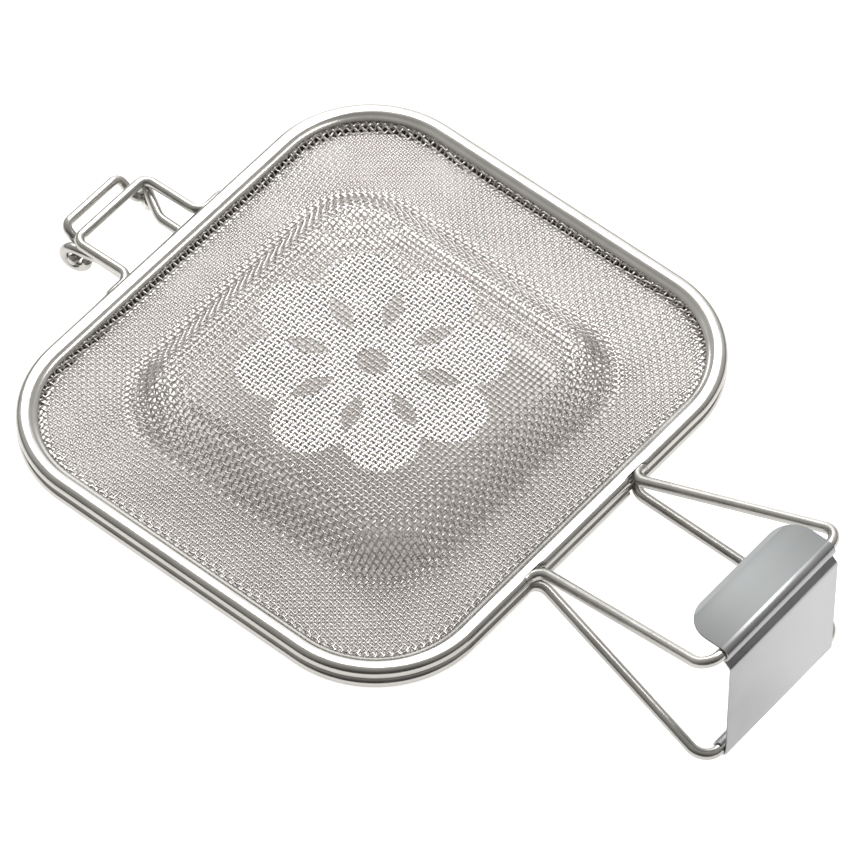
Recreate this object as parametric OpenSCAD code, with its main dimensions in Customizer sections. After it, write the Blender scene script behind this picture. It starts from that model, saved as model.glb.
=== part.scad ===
// Mesh sandwich press (pie iron) of stainless steel: two square wire-cloth
// trays with rolled rims, wire handles, a wire hinge with a swinging bail,
// and a one-piece sheet latch that hooks over the upper handle.
// Lengths are millimetres. X runs from the hinge to the handles, Z is up.

/* [Rims] */
// Length of a tray from the hinge side to the handle side
rim_length = 150; // [140:1:170]
// Width of a tray across the handles
rim_width = 163; // [150:1:180]
// Outer radius of the rim's corners
rim_corner = 33.5; // [26:0.5:40]
// Width of the rolled band, seen from above
band_width = 4.5; // [4.2:0.1:6]
// Height of the rolled band
band_height = 3.9; // [3.6:0.1:5]
// Thickness of the band's sheet
band_sheet = 0.45; // [0.3:0.05:0.6]
// Width of the flat lip inside the band that holds the cloth
flange_width = 1.6; // [1.4:0.1:3]
// Height of that lip over the middle of the band
flange_rise = 1.3; // [0.9:0.05:1.4]
// Gap between the two closed rims
rim_gap = 0.2; // [0.1:0.1:1]
// Diameter of the wire that the band is rolled round
core_wire = 2.6; // [2:0.1:2.8]

/* [Wire cloth] */
// Thickness of the pressed wire cloth
cloth = 0.8; // [0.6:0.1:1]
// Length of the raised flat panel
panel_length = 76; // [60:1:80]
// Width of the raised flat panel
panel_width = 77; // [60:1:90]
// Corner radius of the panel
panel_corner = 7; // [5:0.5:12]
// Width of the sloped band round the panel
slope_width = 18; // [17:0.5:20]
// Radius of the bends at the foot and the top of the slope
slope_bend = 9.5; // [6:0.5:9.5]
// Radius of the bends of the wall at the rim
wall_bend = 0.9; // [0.7:0.05:0.9]
// Height of the cloth's flat border over the closing plane
border_z = 0.8; // [0.6:0.05:0.85]
// Height of the raised panel over the closing plane
panel_z = 12; // [9:0.5:12]

/* [Browning plate] */
// Distance from the plate's middle to the tip of a scallop
plate_reach = 37; // [30:0.5:37.5]
// Thickness of the plate
plate_sheet = 0.5; // [0.4:0.1:1]
// Number of scallops and petal windows
petals = 8; // [6:1:10]

/* [Handles] */
// Diameter of the handle wires
handle_wire = 3.2; // [2.8:0.1:3.6]
// Half the distance between a handle's two roots
root_half = 19.5; // [16:0.5:24]
// Half the distance between a handle's two outer corners
grip_half = 28.6; // [26:0.1:32]
// Distance from the tray's middle to the upper handle's bar
upper_bar_x = 137.2; // [125:0.1:150]
// Height of the upper handle's bar over the closing plane
upper_bar_z = 24.2; // [20:0.1:28]
// Distance from the tray's middle to the lower handle's bar
lower_bar_x = 138.3; // [126:0.1:151]
// Depth of the lower handle's bar under the closing plane
lower_bar_z = 17.8; // [16:0.1:22]
// Bend radius of a handle's outer corners
grip_bend = 5; // [3:0.5:6]
// Bend radius of a handle's roots
root_bend = 8; // [5:0.5:12]
// Straight stretch of a handle wire outside the rim
root_straight = 1.5; // [1:0.5:4]

/* [Latch] */
// Width of the latch along the bars
latch_width = 45; // [38:0.5:45]
// Thickness of the latch's spring sheet
latch_sheet = 0.6; // [0.5:0.05:0.8]
// Depth of the flat thumb tab
tab_depth = 13.5; // [9:0.5:20]
// Corner radius of the thumb tab
tab_corner = 8; // [4:0.5:9]
// Angle of the slope between plate and crease
ridge_angle = 47; // [35:1:55]
// Play of the lower bar in the rolled knuckle
knuckle_play = 0.1; // [0.05:0.05:0.3]
// Play of the upper bar in the hook
hook_play = 0.25; // [0.2:0.05:0.4]
// Angle of the knuckle's roll
knuckle_turn = 290; // [240:5:310]

/* [Hinge] */
// Diameter of the hinge wires
hinge_wire = 3; // [2.6:0.1:3.2]
// Half the distance between the legs of the upper loop
loop_half = 14.5; // [13.5:0.1:18]
// Distance from the tray's middle to the hinge axis
hinge_x = 94.5; // [90:0.5:105]
// Height of the upper loop's bar over the closing plane
loop_bar_z = 1.3; // [1.2:0.1:2]
// Bend radius of the upper loop's corners
loop_bend = 3.2; // [2.5:0.1:4]
// Radius of the eyes, at the middle of the wire
eye_radius = 3.6; // [3.5:0.1:4.2]
// Turn of the eye's wire
eye_turn = 285; // [270:5:300]
// Half the distance between the two eyes
eye_half = 14.6; // [14.4:0.1:17]
// Distance of the left eye wire's root from the middle
left_root = 13; // [10:0.5:14]
// Distance of the right eye wire's root from the middle
right_root = 8.4; // [6:0.2:10]
// Slant of the right eye
eye_slant = 30; // [10:1:32]
// Diameter of the bail's wire
bail_wire = 2.8; // [2.4:0.1:2.8]
// Length of the bail's arms
bail_reach = 8.6; // [8:0.1:12]
// Lean of the bail from upright, outwards
bail_lean = 54.5; // [50:0.5:80]
// Bend radius of the bail's corners
bail_bend = 2.4; // [1.6:0.1:3]
// Play between the bail's arms and the eyes
bail_play = 0.5; // [0.3:0.1:1]
// Length of the bail's tips beyond the eyes
tip_spare = 0.8; // [0.4:0.1:3]

/* [Hidden] */
$fn = 64;

steel = [0.78, 0.79, 0.8];
bright_steel = [0.86, 0.87, 0.88];
cloth_steel = [0.66, 0.65, 0.64];

// Overlaps that make one solid of the pieces of a bend
weld_reach = 0.15;
weld_skin = 0.02;
weld_gap = 0.05;

// Rims: the band's path runs down the middle of its roll
band_path = [rim_length - band_width, rim_width - band_width];
band_path_corner = rim_corner - band_width / 2;
band_z = rim_gap / 2 + band_height / 2;
notch_play = 0.15;
// The lip's sheet starts inside the wall of the roll
flange_root = (band_width - band_height) / 2
              + sqrt(pow(band_height / 2, 2) - pow(flange_rise, 2))
              - band_sheet * 0.8;
root_gap = 0.1;
core_side = band_path[0] / 2 + core_wire / 2 + root_gap;

// Wire cloth: distances inwards from the rim's inner face
inner_length = rim_length - 2 * band_width;
inner_width = rim_width - 2 * band_width;
inner_corner = rim_corner - band_width;
lip_gap = 0.3;
wall_inset = flange_width + cloth / 2 + 0.1;
lip_z = band_z + flange_rise - band_sheet / 2 - cloth / 2 - weld_skin;

// Latch: radii of its rolls, at the middle and the outside of the sheet
bar_radius = handle_wire / 2;
knuckle_middle = bar_radius + knuckle_play + latch_sheet / 2;
knuckle_outer = knuckle_middle + latch_sheet / 2;
hook_middle = bar_radius + hook_play + latch_sheet / 2;
latch_face_x = lower_bar_x + knuckle_middle;
ridge_bend = 1.5;
crease_bend = 0.6;
// Heading of the sheet where it leaves the crease for the hook
hook_start = 35;

// Hinge: the eyes hang under their wires, the bail turns in the eyes
eye_z = -band_z - eye_radius;
pivot = [-hinge_x, 0, eye_z];
bail_arm = eye_half - hinge_wire / 2 - bail_play - bail_wire / 2;
bail_tip = eye_half + hinge_wire / 2 + tip_spare;
bail_far = pivot + bail_reach * [-sin(bail_lean), 0, cos(bail_lean)];

// The latch's knuckle is the lowest point
rest_z = lower_bar_z + knuckle_outer;
centre_x = (latch_face_x + latch_sheet / 2 + bail_far[0] - bail_wire / 2) / 2;

function unit(v) = v / norm(v);

// Puts children in the frame of three axes at a point
module placed(x_axis, y_axis, z_axis, at) {
    multmatrix([for (i = [0:2]) [x_axis[i], y_axis[i], z_axis[i], at[i]]])
        children();
}

// Straight round rod between two points
module rod(from, to, diameter) {
    z_axis = unit(to - from);
    side = abs(z_axis[2]) < 0.9 ? [0, 0, 1] : [1, 0, 0];
    x_axis = unit(cross(side, z_axis));
    placed(x_axis, cross(z_axis, x_axis), z_axis, from)
        cylinder(h = norm(to - from), d = diameter);
}

function turn_at(p, i) = acos(unit(p[i] - p[i - 1]) * unit(p[i + 1] - p[i]));
// Length that a bend takes off each of its two straight legs
function bend_leg(p, r, i) =
    i == 0 || i == len(p) - 1 ? 0 : r[i] * tan(turn_at(p, i) / 2);

// Round elbow at point i of a bent wire
module elbow(p, r, i, diameter) {
    along = unit(p[i] - p[i - 1]);
    normal = unit(cross(along, unit(p[i + 1] - p[i])));
    inwards = cross(normal, along);
    start = p[i] - along * bend_leg(p, r, i);
    placed(-inwards, along, normal, start + inwards * r[i])
        rotate_extrude(angle = turn_at(p, i)) translate([r[i], 0])
            circle(d = diameter);
}

// Short sleeve, a hair thicker than the wire, over the end of a bend
module weld(at, along, diameter) {
    rod(at - along * weld_reach, at + along * weld_reach,
        diameter + 2 * weld_skin);
}

// Wire through the corner points p, bent at each with the radius in r
module bent_wire(p, r, diameter) {
    last = len(p) - 1;
    for (i = [1:last]) {
        along = unit(p[i] - p[i - 1]);
        from = p[i - 1] + along * bend_leg(p, r, i - 1);
        to = p[i] - along * bend_leg(p, r, i);
        rod(from + along * (i > 1 ? weld_gap : 0),
            to - along * (i < last ? weld_gap : 0), diameter);
        if (i > 1) weld(from, along, diameter);
        if (i < last) weld(to, along, diameter);
    }
    for (i = [1:last - 1]) elbow(p, r, i, diameter);
}

// Part of a flat ring of sheet between two angles
module sheet_arc(radius, sheet, from, to) {
    reach = 2 * (radius + sheet);
    intersection() {
        difference() {
            circle(r = radius + sheet / 2);
            circle(r = radius - sheet / 2);
        }
        polygon([[0, 0], for (k = [0:6]) let (a = from + (to - from) * k / 6)
                 reach * [cos(a), sin(a)]]);
    }
}

// Edge view of a bent sheet that starts at the origin along +X: a step
// [length, 0] runs straight, [radius, angle] bends, left is positive
module bent_sheet(steps, sheet, i = 0) {
    if (i < len(steps)) {
        size = steps[i][0];
        angle = steps[i][1];
        if (angle == 0) {
            // A straight piece is a hair thicker and laps over the bends
            before = i > 0 ? weld_reach / 2 : 0;
            after = i < len(steps) - 1 ? weld_reach / 2 : 0;
            translate([-before, -sheet / 2 - weld_skin])
                square([size + before + after, sheet + 2 * weld_skin]);
            translate([size, 0]) bent_sheet(steps, sheet, i + 1);
        } else {
            side = sign(angle);
            translate([0, side * size]) {
                sheet_arc(size, sheet, -side * 90, -side * 90 + angle);
                rotate(angle) translate([0, -side * size])
                    bent_sheet(steps, sheet, i + 1);
            }
        }
    }
}

// Rounded rectangle, centred
module rounded_plate(length, width, corner) {
    square([length - 2 * corner, width], center = true);
    square([length, width - 2 * corner], center = true);
    for (sx = [-1, 1], sy = [-1, 1])
        translate([sx * (length / 2 - corner), sy * (width / 2 - corner)])
            circle(r = corner);
}

// Carries a section round a rounded rectangle: the section's x is the
// distance outwards from that path, its y is the height
module round_sweep(length, width, corner) {
    for (turn = [0, 180]) rotate(turn) {
        translate([length / 2, width / 2 - corner, 0]) rotate([90, 0, 0])
            linear_extrude(width - 2 * corner) children();
        rotate(90) translate([width / 2, length / 2 - corner, 0])
            rotate([90, 0, 0])
                linear_extrude(length - 2 * corner) children();
        translate([length / 2 - corner, width / 2 - corner, 0])
            rotate_extrude(angle = 90) translate([corner, 0]) children();
        translate([corner - length / 2, width / 2 - corner, 0])
            rotate([0, 0, 90])
                rotate_extrude(angle = 90) translate([corner, 0]) children();
    }
}

// Section of a band: flat-sided roll, open inside for the core wire
module roll_outline(inset) {
    height = band_height - 2 * inset;
    width = band_width - 2 * inset;
    square([width - height, height], center = true);
    for (s = [-1, 1]) translate([s * (width - height) / 2, 0])
        circle(d = height);
}

module band_section() {
    difference() {
        union() {
            roll_outline(0);
            translate([-band_width / 2 - flange_width,
                       flange_rise - band_sheet / 2])
                square([flange_width + band_width / 2 - flange_root,
                        band_sheet]);
        }
        roll_outline(band_sheet);
    }
}

// Rim of one tray at the height z, with a notch for each wire's root
module rim_band(z, notches) {
    difference() {
        translate([0, 0, z])
            round_sweep(band_path[0], band_path[1], band_path_corner)
                band_section();
        for (n = notches)
            translate([n[0] * band_path[0] / 2, n[1], n[2]])
                rotate([0, n[0] * 90, 0])
                    cylinder(h = band_width, d = n[3] + 2 * notch_play);
    }
}

module core_ring(z) {
    translate([0, 0, z])
        round_sweep(band_path[0], band_path[1], band_path_corner)
            circle(d = core_wire);
}

// Straight run and angle of a slope with an equal bend at each end
function slope_run(width, height, r) =
    sqrt(width * width + height * height - 4 * r * height);
function slope_angle(width, height, r) =
    atan2(height - 2 * r, width)
    + asin(2 * r / norm([width, height - 2 * r]));

// Pressed wire cloth of one tray, as a thin sheet of the cloth's thickness:
// a lip in the rim, a low wall, a flat border, a slope and the raised panel
module pressed_cloth() {
    drop = lip_z - border_z;
    lift = panel_z - border_z;
    angle = slope_angle(slope_width, lift, slope_bend);
    run = slope_run(slope_width, lift, slope_bend);
    // The border reaches a little over the ends of both bends
    floor_inset = wall_inset + wall_bend - weld_reach / 2;
    foot = slope_width - weld_reach / 2;
    floor_sheet = cloth + 2 * weld_skin;
    // Lip and wall, from the edge inwards
    round_sweep(inner_length, inner_width, inner_corner)
        translate([-lip_gap, lip_z]) mirror([1, 0])
            bent_sheet([[wall_inset - lip_gap - wall_bend, 0],
                        [wall_bend, -90],
                        [drop - 2 * wall_bend, 0],
                        [wall_bend, 90]], cloth);
    // Flat border
    translate([0, 0, border_z - floor_sheet / 2])
        linear_extrude(floor_sheet) difference() {
            rounded_plate(inner_length - 2 * floor_inset,
                          inner_width - 2 * floor_inset,
                          inner_corner - floor_inset);
            rounded_plate(panel_length + 2 * foot, panel_width + 2 * foot,
                          panel_corner + foot);
        }
    // Slope and panel, from the panel's edge outwards
    round_sweep(panel_length, panel_width, panel_corner)
        translate([0, panel_z])
            bent_sheet([[slope_bend, -angle], [run, 0],
                        [slope_bend, angle]], cloth);
    translate([0, 0, panel_z - cloth / 2]) linear_extrude(cloth)
        rounded_plate(panel_length, panel_width, panel_corner);
}

// Handle loop through its roots and its bar, for the upper or lower tray
module handle_loop(root_z, bar_x, bar_z) {
    bend_x = rim_length / 2 + root_straight;
    corners = [[core_side, root_half, root_z], [bend_x, root_half, root_z],
               [bar_x, grip_half, bar_z], [bar_x, -grip_half, bar_z],
               [bend_x, -root_half, root_z], [core_side, -root_half, root_z]];
    bent_wire(corners, [0, root_bend, grip_bend, grip_bend, root_bend, 0],
              handle_wire);
}

// Eye wire from its root in the rim to an eye that hangs under its end;
// side is -1 for the left eye and 1 for the right one
module eye_wire(side, root, slant) {
    heading = [-cos(slant), side * sin(slant), 0];
    top = [-hinge_x, side * eye_half, -band_z];
    jog = (eye_half - root) / max(sin(slant), 0.001);
    bend = top - heading * jog;
    start = [-core_side, side * root, -band_z];
    bent_wire([start, bend, top - heading * weld_gap], [0, hinge_wire, 0],
              hinge_wire);
    weld(top, heading, hinge_wire);
    placed([0, 0, 1], heading, cross([0, 0, 1], heading),
           top - [0, 0, eye_radius])
        rotate_extrude(angle = eye_turn) translate([eye_radius, 0])
            circle(d = hinge_wire);
}

module upper_rim_band() {
    color(bright_steel)
        rim_band(band_z, [for (s = [-1, 1]) [1, s * root_half, band_z,
                                             handle_wire],
                          for (s = [-1, 1]) [-1, s * loop_half, band_z,
                                             hinge_wire]]);
}

module upper_core_wire() {
    color(steel) core_ring(band_z);
}

module upper_mesh() {
    color(cloth_steel) pressed_cloth();
}

// Round polished plate with scallops and petal windows, under the panel
module browning_plate() {
    scallop = plate_reach * 0.28;
    color(bright_steel)
        translate([0, 0, panel_z - cloth / 2 - plate_sheet])
            linear_extrude(plate_sheet) difference() {
                union() {
                    circle(r = plate_reach - scallop * 0.8);
                    for (k = [0:petals - 1]) rotate(360 * k / petals)
                        translate([plate_reach - scallop, 0])
                            circle(r = scallop);
                }
                for (k = [0:petals - 1]) rotate(360 * (k + 0.5) / petals)
                    translate([plate_reach * 0.5, 0])
                        petal_window(plate_reach * 0.36, plate_reach * 0.14);
                circle(r = plate_reach * 0.12);
            }
}

// Pointed oval: where two equal circles cross
module petal_window(length, width) {
    radius = (length * length + width * width) / (4 * width);
    intersection() {
        translate([0, radius - width / 2]) circle(r = radius);
        translate([0, width / 2 - radius]) circle(r = radius);
    }
}

module upper_handle_wire() {
    color(steel) handle_loop(band_z, upper_bar_x, upper_bar_z);
}

module upper_hinge_loop() {
    corners = [[-core_side, loop_half, band_z],
               [-hinge_x, loop_half, loop_bar_z],
               [-hinge_x, -loop_half, loop_bar_z],
               [-core_side, -loop_half, band_z]];
    color(steel) bent_wire(corners, [0, loop_bend, loop_bend, 0], hinge_wire);
}

module lower_rim_band() {
    color(bright_steel)
        mirror([0, 0, 1])
            rim_band(band_z, [for (s = [-1, 1]) [1, s * root_half, band_z,
                                                 handle_wire],
                              [-1, -left_root, band_z, hinge_wire],
                              [-1, right_root, band_z, hinge_wire]]);
}

module lower_core_wire() {
    color(steel) core_ring(-band_z);
}

module lower_mesh() {
    color(cloth_steel) mirror([0, 0, 1]) pressed_cloth();
}

module lower_handle_wire() {
    color(steel) handle_loop(-band_z, lower_bar_x, -lower_bar_z);
}

module hinge_eye_left() {
    color(steel) eye_wire(-1, left_root, 12);
}

module hinge_eye_right() {
    color(steel) eye_wire(1, right_root, eye_slant);
}

// Open bail: its tips are sprung outwards through the two eyes
module hinge_bail() {
    y_arm = [0, bail_arm, 0];
    y_tip = [0, bail_tip, 0];
    color(steel)
        bent_wire([pivot - y_tip, pivot - y_arm, bail_far - y_arm,
                   bail_far + y_arm, pivot + y_arm, pivot + y_tip],
                  [0, bail_bend, bail_bend, bail_bend, bail_bend, 0],
                  bail_wire);
}

// Edge view of the latch: plate, ridge, crease, hook and thumb tab
module latch_profile() {
    top_heading = 90 + ridge_angle;
    crease_turn = top_heading - hook_start;
    hook_from = [upper_bar_x + hook_middle * sin(hook_start),
                 upper_bar_z - hook_middle * cos(hook_start)];
    ridge_step = ridge_bend * [sin(top_heading) - 1, -cos(top_heading)];
    crease_step = crease_bend * [sin(top_heading) - sin(hook_start),
                                 cos(hook_start) - cos(top_heading)];
    slope = (latch_face_x + ridge_step[0] + crease_step[0] - hook_from[0])
            / -cos(top_heading);
    rise = hook_from[1] + lower_bar_z - ridge_step[1] - crease_step[1]
           - slope * sin(top_heading);
    translate([latch_face_x, -lower_bar_z]) rotate(90)
        bent_sheet([[rise, 0], [ridge_bend, ridge_angle], [slope, 0],
                    [crease_bend, -crease_turn],
                    [hook_middle, 180 - hook_start], [tab_depth, 0]],
                   latch_sheet);
    translate([lower_bar_x, -lower_bar_z])
        sheet_arc(knuckle_middle, latch_sheet, 0, -knuckle_turn);
}

module latch_clip() {
    tab_edge = upper_bar_x - tab_depth;
    below = 2 * (lower_bar_z + upper_bar_z);
    color(bright_steel) intersection() {
        translate([0, latch_width / 2, 0]) rotate([90, 0, 0])
            linear_extrude(latch_width) latch_profile();
        translate([0, 0, -below]) linear_extrude(2 * below) union() {
            translate([tab_edge + tab_corner, -latch_width / 2])
                square([rim_length, latch_width]);
            translate([tab_edge, tab_corner - latch_width / 2])
                square([tab_corner * 2, latch_width - 2 * tab_corner]);
            for (s = [-1, 1])
                translate([tab_edge + tab_corner,
                           s * (latch_width / 2 - tab_corner)])
                    circle(r = tab_corner);
        }
    }
}

module in_place() {
    translate([-centre_x, 0, rest_z]) children();
}

in_place() upper_rim_band();
in_place() upper_core_wire();
in_place() upper_mesh();
in_place() browning_plate();
in_place() upper_handle_wire();
in_place() upper_hinge_loop();
in_place() lower_rim_band();
in_place() lower_core_wire();
in_place() lower_mesh();
in_place() lower_handle_wire();
in_place() hinge_eye_left();
in_place() hinge_eye_right();
in_place() hinge_bail();
in_place() latch_clip();
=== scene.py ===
"""Looks of the stainless mesh sandwich press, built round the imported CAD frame.

Every length below is in millimetres and is turned into metres only when a mesh
is made. The pieces are modelled where the CAD frame has them: x runs from the
hinge to the handles, y along the handle bars and z up, and the tray's middle on
the closing plane is the modelling origin. ``Workshop`` moves that to the row frame.
"""

import logging
import math
from dataclasses import dataclass, field
from enum import Enum
from typing import Sequence

import bpy
import numpy as np
from mathutils import Matrix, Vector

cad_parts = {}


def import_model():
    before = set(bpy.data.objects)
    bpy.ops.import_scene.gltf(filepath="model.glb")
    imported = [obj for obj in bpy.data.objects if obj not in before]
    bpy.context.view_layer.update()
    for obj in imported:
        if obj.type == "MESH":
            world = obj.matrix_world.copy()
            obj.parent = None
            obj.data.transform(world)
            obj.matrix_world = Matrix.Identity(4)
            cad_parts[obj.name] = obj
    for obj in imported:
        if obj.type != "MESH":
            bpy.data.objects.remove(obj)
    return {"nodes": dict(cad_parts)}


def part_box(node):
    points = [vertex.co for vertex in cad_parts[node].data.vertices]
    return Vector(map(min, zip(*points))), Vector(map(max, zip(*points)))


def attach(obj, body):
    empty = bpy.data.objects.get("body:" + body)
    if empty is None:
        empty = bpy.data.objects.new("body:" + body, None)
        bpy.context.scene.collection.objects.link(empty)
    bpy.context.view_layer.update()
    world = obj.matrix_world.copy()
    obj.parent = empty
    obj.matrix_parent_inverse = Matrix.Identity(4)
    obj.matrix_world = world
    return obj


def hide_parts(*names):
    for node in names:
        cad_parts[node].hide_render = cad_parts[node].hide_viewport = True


LOG = logging.getLogger("sandwich_press")
MM = 0.001

# sizes that several pieces share
RIM_GAP = 0.2  # between the two closed rims
WEAVE_PITCH = 1.5875  # distance between the cloth's wires, 16 to the inch
ROLL_MIDDLE = 2.05  # height of a roll's middle over the closing plane
UPPER_BAR = (137.2, 24.2)  # x and z of the upper handle's bar
LOWER_BAR = (138.3, -17.8)
BAR_WIRE = 3.2
UP = (0.0, 0.0, 1.0)
LAMP_AIM = (0.0, 0.0, 0.02)  # the point that lamps face, in metres

# how finely round shapes are cut
WIRE_SIDES = 24
CORNER_POINTS = 40  # in each corner of a rounded rectangle
ROLL_POINTS, FALL_POINTS = 44, 10  # in the rim's section
SLOPE_POINTS = 24  # in each bend of the cloth's slope
BEND_STEP = math.radians(5)
WIRE_STEP = 4.0  # longest step along a wire
RIM_STEP = 6.0  # longest step along a rounded rectangle
SHORTEST = 1e-4  # points closer than this are one point

Array = np.ndarray
Pair = tuple[float, float]
Triple = tuple[float, float, float]
Socket = bpy.types.NodeSocket


class Body(Enum):
    """The CAD bodies that pieces ride on."""

    LOWER = "lower_tray"
    LID = "lid"
    LATCH = "latch"
    BAIL = "bail"


def linear(code: str) -> tuple[float, float, float, float]:
    """Turn an sRGB colour into a linear one.

    Args:
        code: Hex code, such as "c8c8c4".

    Returns:
        Linear red, green and blue, and an alpha of 1.
    """
    parts = [int(code[i : i + 2], 16) / 255 for i in (0, 2, 4)]
    lin = [p / 12.92 if p <= 0.04045 else ((p + 0.055) / 1.055) ** 2.4 for p in parts]
    return (lin[0], lin[1], lin[2], 1.0)


def unit(v: Array) -> Array:
    """Scale vectors along the last axis to length 1."""
    return v / np.maximum(np.linalg.norm(v, axis=-1, keepdims=True), 1e-12)


def smoothstep(t: Array) -> Array:
    """Ease from 0 to 1, level at both ends."""
    return t * t * (3 - 2 * t)


def running_length(path: Array) -> Array:
    """Length of a line up to each of its points."""
    steps = np.linalg.norm(np.diff(path, axis=0), axis=1)
    return np.concatenate([[0], np.cumsum(steps)])


def added(name: str, data: bpy.types.ID) -> bpy.types.Object:
    """Make an object and link it to the scene.

    Args:
        name, data: Its name and its data.

    Returns:
        The object.
    """
    obj = bpy.data.objects.new(name, data)
    bpy.context.scene.collection.objects.link(obj)
    return obj


def aimed(
    right: Array, up: Array, back: Array, at: Array
) -> Matrix:
    """Matrix of a camera or lamp at a place, which looks against "back"."""
    columns = np.stack([right, up, back, at], axis=1)
    return Matrix([*columns.tolist(), (0.0, 0.0, 0.0, 1.0)])


# ---- finishes


class Nodes:
    """The nodes of a material or world, with short ways to fill them."""

    def __init__(self, owner: bpy.types.ID) -> None:
        """Switch the owner's nodes on."""
        owner.use_nodes = True
        self.tree = owner.node_tree

    def put(self, socket: Socket, value: object) -> None:
        """Link a socket or set its constant.

        Args:
            socket: The input socket.
            value: Another node's output, or a constant.
        """
        if isinstance(value, Socket):
            self.tree.links.new(value, socket)
        else:
            socket.default_value = value

    def fill(self, node: bpy.types.Node, **values: object) -> bpy.types.Node:
        """Fill a node's sockets.

        Args:
            node: The node.
            values: Each socket's value by name, with "_" for each space.

        Returns:
            The same node.
        """
        for key, value in values.items():
            self.put(node.inputs[key.replace("_", " ")], value)
        return node

    def add(self, kind: str, **values: object) -> bpy.types.Node:
        """Add a shader node of some kind and fill its sockets."""
        return self.fill(self.tree.nodes.new("ShaderNode" + kind), **values)

    def span(self, value: Socket, **ends: float) -> Socket:
        """Map one range of values to another, each 0 to 1 unless given."""
        return self.add("MapRange", Value=value, **ends).outputs["Result"]

    def math(self, operation: str, *operands: float | Socket) -> Socket:
        """Add a math node.

        Args:
            operation: What it works out.
            operands: Outputs or constants.

        Returns:
            The result.
        """
        node = self.add("Math")
        node.operation = operation
        for socket, value in zip(node.inputs, operands):
            self.put(socket, value)
        return node.outputs["Value"]

    def ramp(
        self, place: Socket, stops: Sequence[tuple[float, str]], curve: str = "LINEAR"
    ) -> Socket:
        """Add a colour ramp.

        Args:
            place: Where along the ramp to read.
            stops: Place and sRGB hex of each colour.
            curve: How the colours blend.

        Returns:
            The colour.
        """
        node = self.add("ValToRGB", Fac=place)
        node.color_ramp.interpolation = curve
        for at, _ in stops[1:-1]:
            node.color_ramp.elements.new(at)
        for element, (at, code) in zip(node.color_ramp.elements, stops):
            element.position, element.color = at, linear(code)
        return node.outputs["Color"]


@dataclass(frozen=True)
class Steel:
    """One finish of stainless steel.

    Attributes:
        name: The metal and the process.
        tint: sRGB hex of the metal's reflection.
        dark_tint: sRGB hex in the duller patches.
        rough: Lowest and highest roughness.
        grain_mm: Size of the fine marks across their run.
        stretch: How many times longer lines are along their run.
        cloud_mm: Size of the duller patches.
        bump_mm: Height of the fine marks.
        cloudy: True for even marks, in place of lines along the UV map.
        blasted, blast_rough, blast_edge: sRGB hex, roughness and width of the
            soft edge of a bead-blasted part, where the UVs run above zero.
        marks_range: What marks times patches run between.
        tint_range: Where in the patches the tints lie.
    """

    name: str
    tint: str
    dark_tint: str
    rough: Pair
    grain_mm: float = 0.25
    stretch: float = 40.0
    cloud_mm: float = 9.0
    bump_mm: float = 0.004
    cloudy: bool = False
    blasted: str = ""
    blast_rough: float = 0.52
    blast_edge: float = 0.4
    marks_range: Pair = (0.12, 0.42)
    tint_range: Pair = (0.3, 0.7)

    def build(self) -> bpy.types.Material:
        """Make the metal, whose roughness, tint and bump vary at real scale.

        Returns:
            The material.
        """
        mat = bpy.data.materials.new(self.name)
        nodes = Nodes(mat)
        coords = nodes.add("TexCoord").outputs
        per_m = 1 / MM / self.grain_mm
        marks = nodes.add(
            "Mapping", Vector=coords["Object" if self.cloudy else "UV"],
            Scale=(per_m if self.cloudy else per_m / self.stretch, per_m, per_m),
        )
        fine = nodes.add(
            "TexNoise", Vector=marks.outputs["Vector"],
            Scale=1.0, Detail=3.0, Roughness=0.6,
        ).outputs["Fac"]
        cloud = nodes.add(
            "TexNoise", Vector=coords["Object"],
            Scale=1 / MM / self.cloud_mm, Detail=2.0,
        ).outputs["Fac"]
        rough = nodes.span(
            nodes.math("MULTIPLY", fine, cloud),
            From_Min=self.marks_range[0], From_Max=self.marks_range[1],
            To_Min=self.rough[0], To_Max=self.rough[1],
        )
        colour = nodes.ramp(
            cloud, tuple(zip(self.tint_range, (self.dark_tint, self.tint)))
        )
        if self.blasted:
            parts = nodes.add("SeparateXYZ", Vector=coords["UV"])
            run, soft = parts.outputs["Y"], self.blast_edge * MM
            duller = nodes.span(run, From_Max=soft, To_Max=self.blast_rough)
            rough = nodes.math("MAXIMUM", rough, duller)
            blend = nodes.add("Mix")
            blend.data_type = "RGBA"
            # a colour mix has its factor at 0 and its two colours at 6 and 7
            nodes.put(blend.inputs[0], nodes.span(run, From_Max=soft))
            nodes.put(blend.inputs[6], colour)
            nodes.put(blend.inputs[7], linear(self.blasted))
            colour = blend.outputs[2]
        bump = nodes.add(
            "Bump", Strength=0.6, Distance=self.bump_mm * MM, Height=fine
        )
        nodes.fill(
            nodes.tree.nodes["Principled BSDF"], Metallic=1.0, Roughness=rough,
            Base_Color=colour, Normal=bump.outputs["Normal"],
        )
        return mat


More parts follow.
